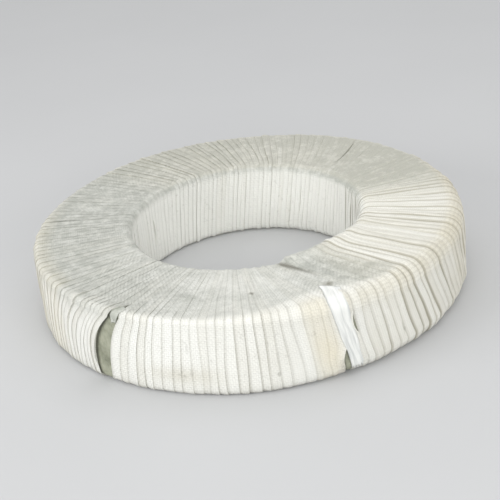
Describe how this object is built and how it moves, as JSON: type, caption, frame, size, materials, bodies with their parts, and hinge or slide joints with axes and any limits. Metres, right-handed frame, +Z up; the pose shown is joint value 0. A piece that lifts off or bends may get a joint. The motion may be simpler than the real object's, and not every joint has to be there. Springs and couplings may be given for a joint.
{
  "type": "coil of steel strapping",
  "caption": "Ring-shaped coil of flat steel packing strap with an open bore, lying flat, wrapped over its whole section in oiled paper and lapped woven tape.",
  "frame": {"origin": "centre of the face that the coil lies on, on the coil's axis", "axes": "+Z up along the coil's axis; the front of the coil, with the open place in its wrap to the left of the front and the closing strip to the right, is towards -Y"},
  "size_m": [0.556, 0.556, 0.1],
  "materials": {
    "oiled_steel": "satin",
    "oiled_paper": "satin",
    "woven_tape": "matte",
    "white_strip": "satin"
  },
  "bodies": {
    "root": {"strap_coil": "oiled_steel", "paper_wrap": "oiled_paper", "tape_wrap": "woven_tape", "closing_strip": "white_strip"}
  },
  "joints": []
}
